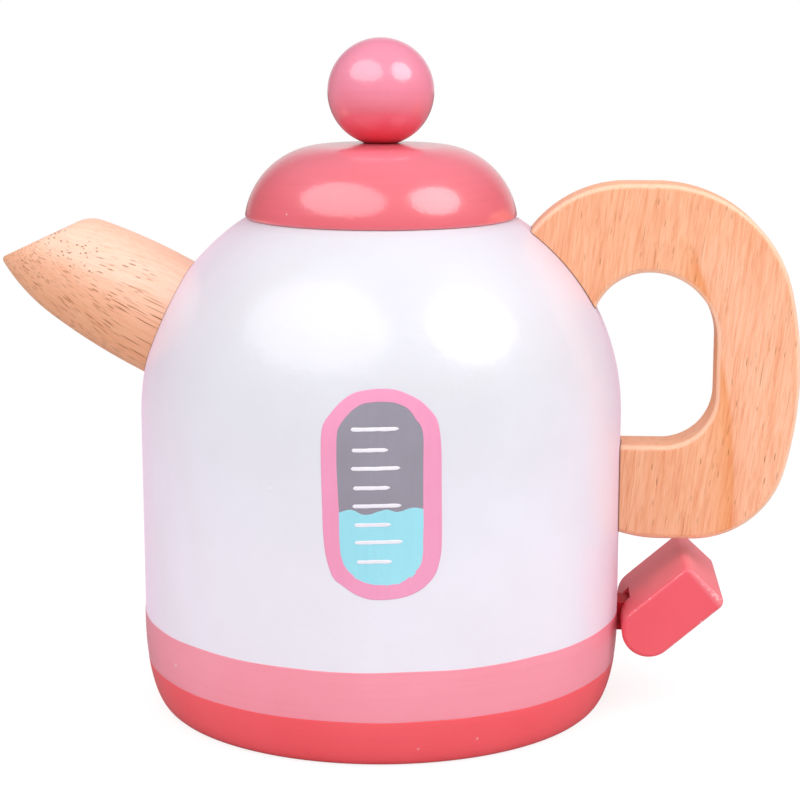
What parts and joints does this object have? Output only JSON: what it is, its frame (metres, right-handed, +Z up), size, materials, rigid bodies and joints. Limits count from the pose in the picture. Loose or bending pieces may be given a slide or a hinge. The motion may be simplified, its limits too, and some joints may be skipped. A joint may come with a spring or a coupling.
{
  "type": "toy kettle",
  "caption": "Wooden toy kettle with a domed, banded body, painted water gauge, lift-off lid with ball knob, slant-cut spout, loop handle and a flip switch lever.",
  "frame": {"origin": "middle of the flat underside of the foot, on the axis that the body is turned about", "axes": "+Z up along the body's turning axis, +X towards the handle and the switch, -X towards the spout, -Y towards the painted gauge"},
  "size_m": [0.1787, 0.1086, 0.1493],
  "materials": {
    "white_paint": "gloss white paint over turned wood",
    "coral_paint": "gloss coral paint over wood",
    "rose_paint": "gloss rose pink paint over wood",
    "pink_paint": "satin pink paint film",
    "grey_paint": "satin grey paint film",
    "blue_paint": "satin pale blue paint film",
    "mark_paint": "satin white paint film",
    "rubberwood": "clear satin lacquer over turned rubberwood",
    "rubberwood_board": "clear satin lacquer over sawn rubberwood",
    "beech": "bare dowel, glued in",
    "steel": "plain bright steel"
  },
  "bodies": {
    "kettle": {"body": "white_paint", "spout": "rubberwood", "spout_dowel": "beech", "handle": "rubberwood_board", "handle_dowel_lower": "beech", "handle_dowel_upper": "beech", "switch_tongue": "coral_paint", "band_coral": "coral_paint", "band_pink": "pink_paint", "gauge_frame": "pink_paint", "gauge_window": "grey_paint", "gauge_water": "blue_paint", "gauge_marks": "mark_paint"},
    "lid": {"lid": "coral_paint", "lid_knob": "rose_paint", "knob_dowel": "beech"},
    "switch": {"switch_lever": "coral_paint", "switch_pin": "steel"}
  },
  "joints": [
    {"name": "lid_lift", "type": "slide", "parent": "kettle", "child": "lid", "axis": [0, 0, 1], "range_m": [0, 0.06]},
    {"name": "switch_flip", "type": "hinge", "parent": "kettle", "child": "switch", "pos_m": [0.06055, 0, 0.0198], "axis": [0, 1, 0], "range_deg": [-10, 80]}
  ]
}
